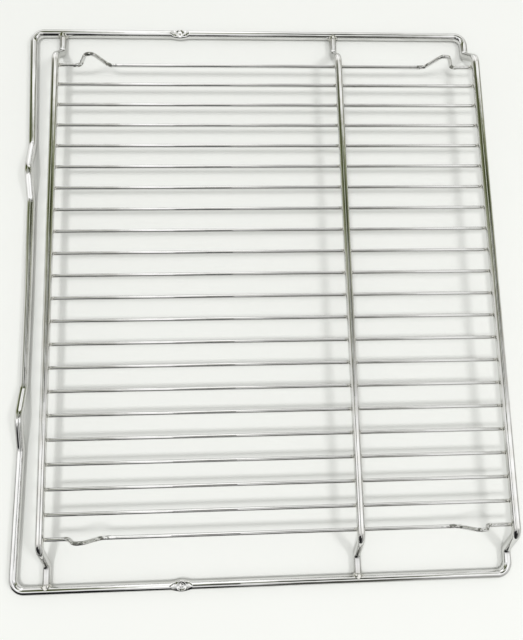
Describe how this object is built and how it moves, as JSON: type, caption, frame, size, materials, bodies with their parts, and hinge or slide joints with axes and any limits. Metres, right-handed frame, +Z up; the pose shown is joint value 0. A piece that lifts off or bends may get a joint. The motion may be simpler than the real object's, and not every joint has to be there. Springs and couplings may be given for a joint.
{
  "type": "oven shelf rack",
  "caption": "Plated wire oven shelf: a closed heavy-wire frame, cranked crossbars and a raised grid of thin wires with bent feet.",
  "frame": {"origin": "on the surface that the frame lies on, under the middle of the rack's box", "axes": "+X along the grid wires towards the raised right bar, +Y along the crossbars, +Z up, away from the frame towards the feet"},
  "size_m": [0.3866, 0.4685, 0.0336],
  "materials": {
    "plated_wire": "polished"
  },
  "bodies": {
    "root": {"outer_frame": "plated_wire", "left_bar": "plated_wire", "middle_bar": "plated_wire", "far_foot_wire": "plated_wire", "grid_wire_02": "plated_wire", "grid_wire_03": "plated_wire", "grid_wire_04": "plated_wire", "grid_wire_05": "plated_wire", "grid_wire_06": "plated_wire", "grid_wire_07": "plated_wire", "grid_wire_08": "plated_wire", "grid_wire_09": "plated_wire", "grid_wire_10": "plated_wire", "grid_wire_11": "plated_wire", "grid_wire_12": "plated_wire", "grid_wire_13": "plated_wire", "grid_wire_14": "plated_wire", "grid_wire_15": "plated_wire", "grid_wire_16": "plated_wire", "grid_wire_17": "plated_wire", "grid_wire_18": "plated_wire", "grid_wire_19": "plated_wire", "grid_wire_20": "plated_wire", "grid_wire_21": "plated_wire", "near_foot_wire": "plated_wire"}
  },
  "joints": []
}
